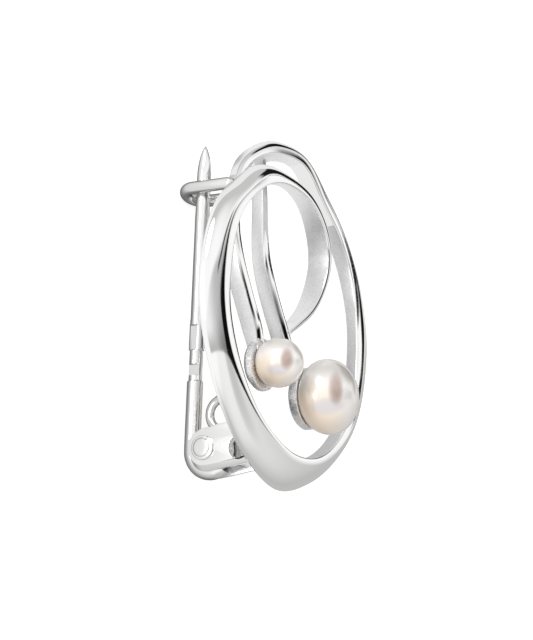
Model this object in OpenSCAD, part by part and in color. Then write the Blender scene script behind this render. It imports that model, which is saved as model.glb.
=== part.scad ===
// Round silver brooch: one swirled ribbon with two stems that end in pearls in cups,
// and a hinged pin with a wire catch on its back. All sizes are in millimetres.
// The brooch is drawn face up (x right, y up the photographed face, z out of the face)
// and then laid on its back, the way it comes to rest on a table.

/* [Ribbon] */
// Sections drawn between two rows of a ribbon's table
ribbon_steps = 6; // [4:1:8]
// Width of the ribbon's flat front face, against its tables
face_width = 1.0; // [0.7:0.05:1.2]
// Rounding of the ribbon's inner front edge
edge_round = 0.12; // [0.06:0.01:0.2]

/* [Pearls] */
// Diameter of the round small pearl
small_pearl_d = 4.0; // [3.6:0.1:4.2]
// Diameter of the button-shaped large pearl
large_pearl_d = 6.2; // [5.8:0.1:6.4]
// Height of the large pearl along its cup's axis
large_pearl_h = 4.5; // [4.0:0.1:4.8]
// Gap between a pearl and its cup
pearl_gap = 0.04; // [0.02:0.01:0.1]
// Outer diameter of the small cup
small_cup_d = 4.3; // [4.1:0.05:4.5]
// Outer diameter of the large cup
large_cup_d = 5.05; // [4.5:0.05:5.3]
// Depth of the small cup's wall
small_cup_h = 0.9; // [0.8:0.05:1.3]
// Depth of the large cup's wall
large_cup_h = 0.85; // [0.6:0.05:1.0]
// Thickness of a cup's floor under its pearl
cup_floor = 0.2; // [0.15:0.05:0.4]
// Slope of the small cup's back edge
small_cup_slope = 0.4; // [0.2:0.05:0.5]
// Slope of the large cup's back edge
large_cup_slope = 0.15; // [0.1:0.05:0.3]

/* [Pin] */
// Thickness of the pin stem near its hinge
stem_d = 1.3; // [1.1:0.05:1.4]
// Thickness of the plain upper length of the pin stem
upper_d = 1.18; // [1.0:0.02:1.25]
// Thickness of the pin stem where it lies in the catch
stem_tip_d = 1.14; // [0.9:0.02:1.2]
// Length of the point's taper
point_l = 2.4; // [1.6:0.1:3.2]
// Length of the stem from the hinge axis to the tip of its point
stem_l = 24.9; // [23:0.1:26]
// Angle by which the closed stem slopes towards the ring
stem_slope = 2.65; // [1.5:0.05:3.5]
// Radius of the stem's bend round the hinge axis, to the middle of the stem
bend_r = 1.8; // [1.6:0.05:1.9]
// Angle by which the bend's tail passes below the hinge axis
tail_turn = 40; // [10:5:45]

/* [Hinge] */
// Diameter of the rivet's shaft
rivet_d = 1.0; // [0.8:0.05:1.2]
// Diameter of the rivet's heads
rivet_head_d = 2.0; // [1.7:0.1:2.2]
// Height of a rivet head
rivet_head_h = 0.32; // [0.2:0.02:0.4]
// Radial clearance of the stem's eye on the rivet
eye_clearance = 0.05; // [0.03:0.01:0.08]
// Thickness of each hinge ear
ear_t = 0.6; // [0.5:0.05:0.7]
// Space between the two ears
ear_space = 1.45; // [1.4:0.05:1.6]
// Radius of the ears' rounded nose
ear_nose_r = 1.42; // [1.3:0.02:1.6]

/* [Catch] */
// Thickness of the catch wire
catch_wire_d = 1.0; // [0.8:0.05:1.1]
// Space between the closed stem and the catch wire
catch_space = 0.08; // [0.04:0.01:0.15]
// Angle by which the wire drops as it winds round the stem
catch_pitch = 17; // [0:1:20]

/* [Eyelet] */
// Diameter of the hole in the small eyelet on the hinge
eyelet_hole_d = 1.8; // [1.4:0.1:2.0]
// Width of metal round the eyelet's hole
eyelet_wall = 0.75; // [0.5:0.05:0.9]

/* [Hidden] */
$fn = 48;
tiny = 0.01;
// Sides drawn round the ribbon's outer edge
outer_steps = 6;
// Below 1, the button pearl's back half is fuller than its front
back_fullness = 0.85;

// Columns of a ribbon table: place of the inner front edge, width of the band, its
// depth, the share of the depth over which its outer side stands upright, width of
// the flat front face, angle at which the outer side leaves the face, and how far
// the inner side leans inwards at the back.
AT_X = 0;
AT_Y = 1;
AT_Z = 2;
WIDTH = 3;
DEPTH = 4;
UPRIGHT = 5;
FACE = 6;
CREST = 7;
LEAN = 8;

// The swirl: curled end, front loop, left side, bottom, right side, back loop, first stem.
SWIRL = [
    [  0.45,  -1.65, -0.95, 0.40, 1.40, 0.80, 0.14,  0, 0.00],
    [  3.10,   0.50, -0.40, 0.60, 1.80, 0.80, 0.22,  0, 0.00],
    [  4.60,   2.80, -0.10, 0.75, 2.00, 0.80, 0.27,  0, 0.00],
    [  5.00,   5.00,  0.10, 0.85, 2.00, 0.80, 0.31,  0, 0.00],
    [  4.00,   7.25,  0.30, 1.02, 1.90, 0.70, 0.38,  0, 0.00],
    [  1.70,   9.06,  0.40, 1.12, 1.55, 0.45, 0.42,  0, 0.00],
    [ -1.60,   9.77,  0.40, 1.23, 1.10, 0.10, 0.50,  0, 0.00],
    [ -4.67,   9.31,  0.40, 1.72, 1.20, 0.10, 0.65,  0, 0.00],
    [ -7.36,   7.79,  0.30, 1.65, 1.40, 0.10, 0.62,  0, 0.00],
    [ -9.45,   5.34,  0.20, 2.30, 1.30, 0.10, 0.90,  0, 0.00],
    [-10.35,   2.00,  0.10, 2.65, 1.35, 0.10, 0.98,  0, 0.00],
    [-10.40,  -1.40,  0.00, 2.50, 1.50, 0.10, 0.90,  0, 0.00],
    [ -9.30,  -4.80,  0.00, 2.55, 1.50, 0.10, 0.90,  0, 0.00],
    [ -7.30,  -7.90,  0.00, 2.65, 1.50, 0.10, 0.60, 12, 0.00],
    [ -4.40, -10.30,  0.00, 2.88, 1.50, 0.10, 0.42, 20, 0.00],
    [ -0.60, -11.80,  0.00, 3.00, 1.50, 0.10, 0.50, 20, 0.00],
    [  3.20, -11.70,  0.00, 2.10, 1.50, 0.10, 0.50, 15, 0.00],
    [  6.40, -10.10,  0.00, 1.75, 1.40, 0.10, 0.55,  8, 0.00],
    [  9.00,  -7.40, -0.10, 1.90, 1.30, 0.10, 0.65,  0, 0.00],
    [ 10.50,  -3.90, -0.40, 2.40, 1.10, 0.10, 0.86,  0, 0.00],
    [ 11.20,   0.20, -0.70, 2.65, 1.00, 0.10, 0.95,  0, 0.00],
    [ 11.30,   4.00, -1.10, 2.20, 1.20, 0.10, 0.79,  0, 0.00],
    [ 10.30,   7.40, -1.50, 1.70, 1.40, 0.20, 0.61,  0, 0.00],
    [  8.07,  10.27, -1.90, 1.72, 1.55, 0.30, 0.62,  0, 0.00],
    [  5.36,  13.05, -2.20, 1.24, 1.45, 0.40, 0.55,  0, 0.05],
    [  1.60,  13.42, -2.40, 1.17, 1.15, 0.40, 0.48,  0, 0.50],
    [ -1.44,  12.62, -2.50, 0.90, 1.00, 0.50, 0.42,  0, 1.05],
    [ -3.60,  11.15, -2.55, 0.85, 0.90, 0.60, 0.40,  0, 0.50],
    [ -4.58,   8.85, -2.45, 1.10, 0.90, 0.80, 0.42,  0, 0.20],
    [ -5.10,   6.20, -2.30, 1.10, 1.25, 0.90, 0.40,  0, 0.00],
    [ -5.15,   3.60, -1.90, 1.10, 1.40, 0.90, 0.40,  0, 0.00],
    [ -4.45,   0.80, -1.50, 1.05, 1.40, 0.90, 0.38,  0, 0.00],
    [ -3.55,  -2.00, -1.15, 1.05, 1.35, 0.90, 0.38,  0, 0.00],
    [ -3.10,  -3.60, -1.25, 1.05, 1.00, 0.90, 0.38,  0, 0.00]
];

// The second stem: from the inside of the back loop down to the large pearl.
SECOND_STEM = [
    [  0.10,  12.65, -2.95, 0.70, 0.95, 0.90, 0.25,  0, 0.00],
    [ -0.70,  10.60, -2.40, 0.75, 1.15, 0.90, 0.27,  0, 0.00],
    [ -1.15,   8.40, -2.05, 0.80, 1.10, 0.90, 0.29,  0, 0.00],
    [ -1.40,   6.20, -1.85, 0.90, 1.15, 0.90, 0.32,  0, 0.00],
    [ -1.50,   4.10, -1.60, 0.95, 1.25, 0.90, 0.34,  0, 0.00],
    [ -1.05,   2.20, -1.40, 0.95, 1.35, 0.90, 0.34,  0, 0.00],
    [ -0.35,   0.40, -1.25, 0.95, 1.35, 0.90, 0.34,  0, 0.00],
    [  0.60,  -1.60, -1.10, 0.95, 1.35, 0.90, 0.34,  0, 0.00],
    [  1.60,  -3.40, -1.10, 0.95, 1.30, 0.90, 0.34,  0, 0.00],
    [  2.40,  -5.00, -1.40, 0.95, 1.00, 0.90, 0.34,  0, 0.00]
];

// Middles of the pearls, and how far each cup's back lies behind them
SMALL_PEARL_AT = [-3.0, -4.9, 0.0];
LARGE_PEARL_AT = [3.55, -6.75, 0.9];
small_cup_back = small_pearl_d / 2 + pearl_gap + cup_floor;
large_cup_back = large_pearl_h / 2 + pearl_gap + cup_floor;

// Hinge axis, along x through the middle of the pin
PIN_X = -4.5;
HINGE_Y = -11.7;
HINGE_Z = -5.35;
ears_half = ear_space / 2 + ear_t;
// How far an ear reaches forwards, into the back of the ring
ear_reach = 4.0;
// The strip that joins the ears below, behind the ring
strip_from = 2.6;
strip_t = 0.35;
ear_notch_at = 3.3;
ear_notch_r = 0.95;
// How far the ears reach below the axis, and how much less on their outer faces
ear_low = 1.85;
ear_trim = 0.45;
// How much further down the far ear reaches
far_ear_drop = 0.35;
// Middle of the eyelet's hole, up and forwards from the hinge axis
eyelet_up = 2.6;
eyelet_forward = 1.75;
// Thickness of the stem's eye
eye_t = 1.0;
// The stem's worked part above its thick lower length: a neck with a square notch,
// then a flat, then the plain round upper length
low_l = 5.6;
neck_l = 2.5;
neck_d = 1.08;
flat_l = 2.0;
flat_d = 1.26;
flat_cut = 0.16;
notch_up = 0.45;
notch_l = 0.9;
notch_cut = 0.3;
flat_top = low_l + neck_l + flat_l;
// The plain upper length, with a short taper at each of its ends
taper_l = 0.6;
upper_at = flat_top + taper_l;
upper_l = 8.3;

// Where the catch wire passes the stem, and the middle of its bend
CATCH_Y = 9.3;
catch_back_z = -6.5;
catch_root_l = 3.4;
catch_free_l = 1.4;

// How the brooch lies on its back: its right side low, and slightly nose up
rest_roll = 17.876;
rest_pitch = 1.026;
rest_shift = [0.093, 0.007, 6.297];

// A row of a ribbon table between its rows, on a smooth curve through all of them
function held(rows, i) = rows[max(0, min(len(rows) - 1, i))];
function blend(a, b, c, d, t) =
    (2 * b + (c - a) * t + (2 * a - 5 * b + 4 * c - d) * t * t
    + (3 * b - a - 3 * c + d) * t * t * t) / 2;
function row_at(rows, s) =
    let (i = floor(s))
    blend(held(rows, i - 1), held(rows, i), held(rows, i + 1), held(rows, i + 2), s - i);
function place(row) = [row[AT_X], row[AT_Y], row[AT_Z]];
function unit(v) = v / norm(v);

// Outline of the band, as distances outwards and forwards from its inner front edge:
// upright inner side, nearly flat front face, and an outer side that rounds to the back
function band_outline(row) =
    let (
        w = row[WIDTH],
        d = row[DEPTH],
        face = row[FACE] * face_width,
        fall = d * (1 - row[UPRIGHT]),
        start = row[CREST],
        reach = (w - face) / (1 - sin(start)),
        rise = fall / cos(start)
    )
    concat(
        [[-row[LEAN], -d], [0, -edge_round], [edge_round, 0], [face, 0]],
        [for (k = [1 : outer_steps])
            let (a = start + (90 - start) * k / outer_steps)
            [face + reach * (sin(a) - sin(start)), rise * (cos(a) - cos(start))]],
        [[w, -d]]
    );

// One section of the ribbon in space, square to its run at position s of its table
function ribbon_ring(rows, s) =
    let (
        row = row_at(rows, s),
        ahead = place(row_at(rows, min(s + 0.05, len(rows) - 1))),
        behind = place(row_at(rows, max(s - 0.05, 0))),
        run = unit(ahead - behind),
        out = unit(cross(run, [0, 0, 1])),
        front = cross(out, run)
    )
    [for (p = band_outline(row)) place(row) + out * p[0] + front * p[1]];

// A closed skin over rings of equal point counts, with a flat face at each end
module skin(rings) {
    m = len(rings[0]);
    last = len(rings) - 1;
    sides = [
        for (k = [0 : last - 1])
            for (i = [0 : m - 1])
                for (f = [[0, m + 1, 1], [0, m, m + 1]])
                    [for (q = f) (k + floor(q / m)) * m + (i + q % m) % m]
    ];
    start_cap = [for (i = [1 : m - 2]) [0, i, i + 1]];
    end_cap = [for (i = [1 : m - 2]) [last * m, last * m + i + 1, last * m + i]];
    polyhedron(
        points = [for (ring = rings) each ring],
        faces = concat(sides, start_cap, end_cap)
    );
}

module ribbon(rows) {
    skin([for (k = [0 : (len(rows) - 1) * ribbon_steps]) ribbon_ring(rows, k / ribbon_steps)]);
}

// A pearl's cup: a short round wall with a floor and a sloped back edge, its back at z = 0
module cup(d, h, slope) {
    rotate_extrude() polygon([
        [0, 0],
        [d / 2 - slope, 0],
        [d / 2, slope],
        [d / 2, h],
        [0, h]
    ]);
}

// The button pearl's outline, grown by a gap all round
function button_outline(gap) =
    let (r = large_pearl_d / 2 + gap, h = large_pearl_h / 2 + gap)
    [for (a = [-90 : 7.5 : 90])
        [abs(a) == 90 ? 0 : r * pow(cos(a), a < 0 ? back_fullness : 1), h * sin(a)]];

// Everything that the pearls need clear in the cups
module pearl_room() {
    translate(SMALL_PEARL_AT) sphere(d = small_pearl_d + 2 * pearl_gap);
    translate(LARGE_PEARL_AT) rotate_extrude() polygon(button_outline(pearl_gap));
}

module cups() {
    translate(SMALL_PEARL_AT - [0, 0, small_cup_back]) cup(small_cup_d, small_cup_h, small_cup_slope);
    translate(LARGE_PEARL_AT - [0, 0, large_cup_back]) cup(large_cup_d, large_cup_h, large_cup_slope);
}

// The catch: a round wire that runs back from the ring, bends round the stem
// and returns on its other side, dropping a little as it goes
module catch_wire() {
    half = (stem_tip_d + catch_wire_d) / 2 + catch_space;
    translate([PIN_X, CATCH_Y, catch_back_z]) rotate([0, 0, -catch_pitch]) {
        rotate([-90, 0, 0]) rotate_extrude(angle = 180) translate([half, 0]) circle(d = catch_wire_d + 0.03);
        translate([-half, 0, -tiny]) cylinder(d = catch_wire_d, h = catch_root_l);
        translate([-half, 0, catch_root_l - tiny]) sphere(d = catch_wire_d - 0.03);
        translate([half, 0, -tiny]) cylinder(d = catch_wire_d, h = catch_free_l);
        translate([half, 0, catch_free_l - tiny]) sphere(d = catch_wire_d - 0.03);
    }
}

// Outline of one hinge ear, seen along x: forwards to the ring and upwards from the
// axis. Its lower edge is drawn in by the given amount.
module ear_outline(trim) {
    circle(r = ear_nose_r);
    translate([0, trim / 2]) scale([1, (ear_low - trim / 2) / ear_nose_r]) circle(r = ear_nose_r);
    polygon([
        [0, ear_nose_r],
        [1.1, 1.75],
        [2.2, 1.9],
        [ear_reach, 1.9],
        [ear_reach, trim - 1.4],
        [1.5, trim - ear_low + 0.12],
        [0.4, trim - ear_low]
    ]);
}

// Lays an outline drawn forwards and upwards across the pin, thick t along x
module across_pin(t) {
    rotate([90, 0, 90]) linear_extrude(height = t) rotate(90) mirror([0, 1]) children();
}

// One ear: its lower edge slopes in towards the outer face
module ear(drop) {
    difference() {
        hull() {
            across_pin(ear_t) ear_outline(ear_trim - drop);
            translate([ear_t / 2, 0, 0]) across_pin(ear_t / 2) ear_outline(-drop);
        }
        translate([-1, -0.2, ear_notch_at]) rotate([0, 90, 0]) cylinder(r = ear_notch_r, h = ear_t + 2);
    }
}

module hinge_bracket() {
    translate([PIN_X, HINGE_Y, HINGE_Z]) {
        difference() {
            union() {
                translate([-ears_half, 0, 0]) ear(0);
                translate([ears_half, 0, 0]) mirror([1, 0, 0]) ear(far_ear_drop);
                translate([-ear_space / 2 - tiny, -1.4, strip_from])
                    cube([ear_space + 2 * tiny, strip_t, ear_reach - strip_from]);
                eyelet();
            }
            translate([-ears_half - 1, 0, 0]) rotate([0, 90, 0])
                cylinder(d = rivet_d + 2 * pearl_gap, h = 2 * ears_half + 2);
            translate([-ears_half - 1, eyelet_up, eyelet_forward]) rotate([0, 90, 0])
                cylinder(d = eyelet_hole_d, h = ear_t + 1.5);
        }
    }
}

module eyelet() {
    translate([-ears_half, eyelet_up, eyelet_forward]) rotate([0, 90, 0])
        cylinder(d = eyelet_hole_d + 2 * eyelet_wall, h = ear_t);
}

module ribbon_frame() color("silver") difference() {
    union() {
        ribbon(SWIRL);
        ribbon(SECOND_STEM);
        cups();
        catch_wire();
        hinge_bracket();
    }
    pearl_room();
}

module small_pearl() color("seashell") translate(SMALL_PEARL_AT) sphere(d = small_pearl_d);

module large_pearl() color("seashell")
    translate(LARGE_PEARL_AT) rotate_extrude() polygon(button_outline(0));

// The pin stem: an eye on the rivet, a bend round it, and a long stem up to its point
module pin_stem() color("gainsboro") translate([PIN_X, HINGE_Y, HINGE_Z]) {
    difference() {
        union() {
            rotate([0, 90, 0]) cylinder(r = bend_r, h = eye_t, center = true);
            stem_bend();
            rotate([stem_slope, 0, 0]) translate([0, 0, -bend_r]) rotate([-90, 0, 0]) stem_run();
        }
        rotate([0, 90, 0]) cylinder(d = rivet_d + 2 * eye_clearance, h = 3, center = true);
    }
}

// The bend: a quarter turn below the stem and the tail beyond it, in the pin's plane
module stem_bend() {
    rotate([90, 0, 90]) rotate(stem_slope + 180 - 90 - tail_turn + 90)
        rotate_extrude(angle = 90 + tail_turn) translate([bend_r, 0]) circle(d = stem_d + 0.04);
}

// The straight stem along +z from z = 0, at the hinge, to the tip of its point
module stem_run() {
    point_at = stem_l - point_l;
    difference() {
        union() {
            cylinder(d = stem_d, h = low_l);
            translate([0, 0, low_l]) cylinder(d = neck_d, h = neck_l);
            translate([0, 0, low_l + neck_l]) cylinder(d = flat_d, h = flat_l);
            translate([0, 0, flat_top]) cylinder(d1 = flat_d, d2 = upper_d, h = taper_l);
            translate([0, 0, upper_at]) cylinder(d = upper_d, h = upper_l);
            translate([0, 0, upper_at + upper_l]) cylinder(d1 = upper_d, d2 = stem_tip_d, h = taper_l);
            translate([0, 0, upper_at + upper_l + taper_l])
                cylinder(d = stem_tip_d, h = point_at - upper_at - upper_l - taper_l);
        }
        // A flat on the outer side, and a small square notch in the neck below it
        translate([-flat_d / 2 - 1 + flat_cut, -1, low_l + neck_l]) cube([1, 2, flat_l]);
        translate([-neck_d / 2 - 1 + notch_cut, -1, low_l + notch_up]) cube([1, 2, notch_l]);
    }
    translate([0, 0, point_at]) rotate_extrude() polygon([
        [0, 0],
        [stem_tip_d / 2, 0],
        [stem_tip_d * 0.46, point_l * 0.3],
        [stem_tip_d * 0.36, point_l * 0.58],
        [stem_tip_d * 0.2, point_l * 0.83],
        [0.05, point_l],
        [0, point_l]
    ]);
}

module rivet() color("silver") translate([PIN_X, HINGE_Y, HINGE_Z]) rotate([0, 90, 0]) {
    cylinder(d = rivet_d, h = 2 * (ears_half + pearl_gap + tiny), center = true);
    for (side = [0, 180]) rotate([side, 0, 0])
        translate([0, 0, ears_half + pearl_gap]) rotate_extrude() polygon([
            [0, 0],
            [rivet_head_d / 2, 0],
            [rivet_head_d / 2, rivet_head_h * 0.3],
            [rivet_head_d * 0.42, rivet_head_h * 0.72],
            [rivet_head_d * 0.25, rivet_head_h * 0.95],
            [0, rivet_head_h]
        ]);
}

// Lays the brooch on its back, the way it comes to rest: on the pin's bend, the
// catch's bend and the right edge of the ring, with the origin below its middle
module at_rest() {
    translate(rest_shift) rotate([rest_pitch, 0, 0]) rotate([0, rest_roll, 0]) children();
}

at_rest() ribbon_frame();
at_rest() small_pearl();
at_rest() large_pearl();
at_rest() pin_stem();
at_rest() rivet();
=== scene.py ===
import math

import bmesh
import bpy
from mathutils import Matrix, Vector, noise


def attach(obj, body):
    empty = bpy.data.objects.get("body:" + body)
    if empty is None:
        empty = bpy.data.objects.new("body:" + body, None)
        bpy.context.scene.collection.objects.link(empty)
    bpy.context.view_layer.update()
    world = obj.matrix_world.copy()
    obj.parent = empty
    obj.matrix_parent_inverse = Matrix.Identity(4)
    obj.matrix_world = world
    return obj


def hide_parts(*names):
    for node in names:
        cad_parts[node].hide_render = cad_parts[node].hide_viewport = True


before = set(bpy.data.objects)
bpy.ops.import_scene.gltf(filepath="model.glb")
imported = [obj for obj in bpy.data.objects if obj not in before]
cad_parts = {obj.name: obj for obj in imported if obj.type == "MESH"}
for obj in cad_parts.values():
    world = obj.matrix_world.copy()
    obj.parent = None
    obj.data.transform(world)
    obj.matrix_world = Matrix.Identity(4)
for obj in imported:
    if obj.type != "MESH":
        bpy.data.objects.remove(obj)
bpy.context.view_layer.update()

# The brooch's own axes, in millimetres: x right, y up its face, z out of the face
X_AXIS = Vector((1, 0, 0))
Y_AXIS = Vector((0, 1, 0))
Z_AXIS = Vector((0, 0, 1))
ORIGIN = Vector((0, 0, 0))

# How the brooch lies on its back, and the way from its millimetres to the row frame
REST_ROLL, REST_PITCH = 17.876, 1.026
REST_SHIFT = (0.093, 0.007, 6.297)
LAID = (
    Matrix.Scale(0.001, 4)
    @ Matrix.Translation(REST_SHIFT)
    @ Matrix.Rotation(math.radians(REST_PITCH), 4, "X")
    @ Matrix.Rotation(math.radians(REST_ROLL), 4, "Y")
)

# The ribbon's rounded edges in millimetres, and its sections for each row of a table
EDGE_ROUND = 0.12
BACK_ROUND = 0.10
RIBBON_STEPS = 12
# The side of a section at its crest and the one where the outer wall starts, the rows of
# the curled end that stay bright, and how much the end of a matt stretch slants
CREST_SIDE, OUTER_WALL_SIDE = 12, 27
CURL_LIP, MATT_END_SLANT = 0.4, 0.08

# The ribbon's sections: place of the inner front edge, width, depth, share of the depth
# over which the outer side stands upright, width of the flat face, angle at which the
# outer side leaves the face, and how far the inner side leans inwards at the back
SWIRL = [
    (0.45, -1.65, -0.95, 0.40, 1.40, 0.80, 0.14, 0, 0.00),
    (3.10, 0.50, -0.40, 0.60, 1.80, 0.80, 0.22, 0, 0.00),
    (4.60, 2.80, -0.10, 0.75, 2.00, 0.80, 0.27, 0, 0.00),
    (5.00, 5.00, 0.10, 0.85, 2.00, 0.80, 0.31, 0, 0.00),
    (4.00, 7.25, 0.30, 1.02, 1.90, 0.70, 0.26, 0, 0.00),
    (1.70, 9.06, 0.40, 1.12, 1.55, 0.45, 0.24, 0, 0.00),
    (-1.60, 9.77, 0.40, 1.23, 1.10, 0.10, 0.30, 0, 0.00),
    (-4.67, 9.31, 0.40, 1.72, 1.20, 0.10, 0.65, 0, 0.00),
    (-7.36, 7.79, 0.30, 1.65, 1.40, 0.10, 0.62, 0, 0.00),
    (-9.45, 5.34, 0.20, 2.30, 1.30, 0.10, 0.90, 0, 0.00),
    (-10.35, 2.00, 0.10, 2.65, 1.35, 0.10, 0.98, 0, 0.00),
    (-10.40, -1.40, 0.00, 2.50, 1.50, 0.10, 0.90, 0, 0.00),
    (-9.30, -4.80, 0.00, 2.55, 1.50, 0.10, 0.90, 0, 0.00),
    (-7.30, -7.90, 0.00, 2.65, 1.50, 0.10, 0.60, 12, 0.00),
    (-4.40, -10.30, 0.00, 2.88, 1.50, 0.10, 0.42, 20, 0.00),
    (-0.60, -11.80, 0.00, 3.00, 1.50, 0.10, 0.50, 20, 0.00),
    (3.20, -11.70, 0.00, 2.10, 1.50, 0.10, 0.50, 15, 0.00),
    (6.40, -10.10, 0.00, 1.75, 1.40, 0.10, 0.55, 8, 0.00),
    (9.00, -7.40, -0.10, 1.90, 1.30, 0.10, 0.65, 0, 0.00),
    (10.50, -3.90, -0.40, 2.40, 1.10, 0.10, 0.86, 0, 0.00),
    (11.20, 0.20, -0.70, 2.65, 1.00, 0.10, 0.95, 0, 0.00),
    (11.30, 4.00, -1.10, 2.20, 1.20, 0.10, 0.79, 0, 0.00),
    (10.30, 7.40, -1.50, 1.70, 1.40, 0.20, 0.61, 0, 0.00),
    (8.07, 10.27, -1.90, 1.72, 1.55, 0.30, 0.62, 0, 0.00),
    (5.36, 13.05, -2.20, 1.24, 1.45, 0.40, 0.55, 0, 0.05),
    (1.60, 13.42, -2.40, 1.17, 1.15, 0.40, 0.48, 0, 0.50),
    (-1.44, 12.62, -2.50, 0.90, 1.00, 0.50, 0.42, 0, 1.05),
    (-3.60, 11.15, -2.55, 0.85, 0.90, 0.60, 0.40, 0, 0.50),
    (-4.58, 8.85, -2.45, 1.10, 0.90, 0.80, 0.42, 0, 0.20),
    (-5.10, 6.20, -2.30, 1.10, 1.25, 0.90, 0.40, 0, 0.00),
    (-5.15, 3.60, -1.90, 1.10, 1.40, 0.90, 0.40, 0, 0.00),
    (-4.45, 0.80, -1.50, 1.05, 1.40, 0.90, 0.38, 0, 0.00),
    (-3.55, -2.00, -1.15, 1.05, 1.35, 0.90, 0.38, 0, 0.00),
    (-3.10, -3.60, -1.25, 1.05, 1.00, 0.90, 0.38, 0, 0.00),
]
SECOND_STEM = [
    (0.10, 12.65, -2.95, 0.70, 0.95, 0.90, 0.25, 0, 0.00),
    (-0.70, 10.60, -2.40, 0.75, 1.15, 0.90, 0.27, 0, 0.00),
    (-1.15, 8.40, -2.05, 0.80, 1.10, 0.90, 0.29, 0, 0.00),
    (-1.40, 6.20, -1.85, 0.90, 1.15, 0.90, 0.32, 0, 0.00),
    (-1.50, 4.10, -1.60, 0.95, 1.25, 0.90, 0.34, 0, 0.00),
    (-1.05, 2.20, -1.40, 0.95, 1.35, 0.90, 0.34, 0, 0.00),
    (-0.35, 0.40, -1.25, 0.95, 1.35, 0.90, 0.34, 0, 0.00),
    (0.60, -1.60, -1.10, 0.95, 1.35, 0.90, 0.34, 0, 0.00),
    (1.60, -3.40, -1.10, 0.95, 1.30, 0.90, 0.34, 0, 0.00),
    (2.40, -5.00, -1.40, 0.95, 1.00, 0.90, 0.34, 0, 0.00),
]

# Pearls and cups, in millimetres. In names D is a diameter, R a radius, L a length, W a
# width, H a height and T a thickness
SMALL_PEARL_AT = Vector((-3.0, -4.9, 0.0))
LARGE_PEARL_AT = Vector((3.55, -6.75, 0.9))
SMALL_PEARL_D = 4.0
LARGE_PEARL_D, LARGE_PEARL_H = 6.2, 4.5
PEARL_GAP, CUP_ROOM, CUP_FLOOR = 0.04, 0.004, 0.2
SMALL_CUP_D, SMALL_CUP_H, SMALL_CUP_SLOPE = 4.3, 0.9, 0.4
LARGE_CUP_D, LARGE_CUP_H, LARGE_CUP_SLOPE = 5.05, 0.85, 0.15
CUP_SOFT, WIDE_DENT, FINE_DENT = 0.06, 0.05, 0.02
BACK_FULLNESS, PEARL_UNEVENNESS = 0.85, 0.006

# Pin stem, rivet, hinge, eyelet and catch, in millimetres, with slope, turn and pitch in
# degrees. The stem runs from its bend through a low length, a neck with a notch, a flat
# and an upper length to its point
PIN_X, HINGE_Y, HINGE_Z = -4.5, -11.7, -5.35
HINGE = Vector((PIN_X, HINGE_Y, HINGE_Z))
STEM_D, UPPER_D, TIP_D = 1.3, 1.18, 1.14
STEM_L, POINT_L, STEM_SLOPE = 24.9, 2.4, 2.65
BEND_R, TAIL_TURN = 1.8, 40
LOW_L, NECK_L, FLAT_L, TAPER_L, UPPER_L = 5.6, 2.5, 2.0, 0.6, 8.3
NECK_D, FLAT_D, FLAT_CUT = 1.08, 1.26, 0.16
NOTCH_UP, NOTCH_L, NOTCH_CUT = 0.45, 0.9, 0.3
# Shares of the point's length and of the tip's diameter
POINT_OUTLINE = (
    (0.08, 0.995), (0.18, 0.965), (0.3, 0.92), (0.44, 0.83), (0.58, 0.72),
    (0.7, 0.58), (0.83, 0.40), (0.93, 0.22), (0.985, 0.1), (1.0, 0.03),
)
EYE_T, EYE_CLEARANCE, EYE_BEVEL = 1.0, 0.05, 0.06
RIVET_D, RIVET_HEAD_D, RIVET_HEAD_H, HEAD_GAP = 1.0, 2.0, 0.32, 0.04
# Shares of the rivet head's radius and height
RIVET_DOME = (
    (0.55, 0.0), (0.93, 0.0), (0.98, 0.06), (1.0, 0.18), (0.99, 0.32), (0.95, 0.42),
    (0.88, 0.48), (0.80, 0.50), (0.765, 0.56), (0.73, 0.70), (0.67, 0.84), (0.57, 0.93),
    (0.42, 0.975), (0.22, 0.995), (0.0, 1.0),
)
EAR_T, EAR_SPACE, EAR_NOSE_R = 0.6, 1.45, 1.42
EARS_HALF = EAR_SPACE / 2 + EAR_T
EAR_LOW, EAR_TRIM, EAR_REACH, FAR_EAR_DROP = 1.85, 0.45, 4.0, 0.35
EAR_TOP, EAR_FLOOR = 1.9, -1.4
EAR_NOTCH_AT, EAR_NOTCH_UP, EAR_NOTCH_R = 3.3, -0.2, 0.95
STRIP_FROM, STRIP_T = 2.6, 0.35
EAR_BEVEL, STRIP_BEVEL = 0.07, 0.06
EYELET_UP, EYELET_FORWARD, EYELET_HOLE_D, EYELET_WALL = 2.6, 1.75, 1.8, 0.75
CATCH_D, CATCH_SPACE, CATCH_PITCH = 1.0, 0.08, 17
CATCH_Y, CATCH_BACK_Z, CATCH_ROOT_L, CATCH_FREE_L = 9.3, -6.5, 3.4, 1.4


# Small helpers for meshes
def turned(degrees, axis):
    return Matrix.Rotation(math.radians(degrees), 4, axis)


def even_steps(start, stop, count):
    return [start + (stop - start) * k / count for k in range(count + 1)]


def verts_of(made):
    return [g for g in made if isinstance(g, bmesh.types.BMVert)]


def edges_of(made):
    return [g for g in made if isinstance(g, bmesh.types.BMEdge)]


def scaled_at(middle, share):
    """Scales a ring about its middle."""
    return Matrix.Translation(middle) @ Matrix.Scale(share, 4) @ Matrix.Translation(-middle)


def grow(bm, ring, matrix):
    """Extrudes an open ring of edges once and places the new ring with a matrix."""
    made = bmesh.ops.extrude_edge_only(bm, edges=ring)["geom"]
    bmesh.ops.transform(bm, matrix=matrix, verts=verts_of(made), space=Matrix())
    return edges_of(made)


def close_ring(bm, ring):
    bmesh.ops.contextual_create(bm, geom=ring)


def tidy(bm):
    """Merges doubles and turns every face outwards."""
    bmesh.ops.remove_doubles(bm, verts=bm.verts, dist=1e-4)
    bmesh.ops.recalc_face_normals(bm, faces=bm.faces)


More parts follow.
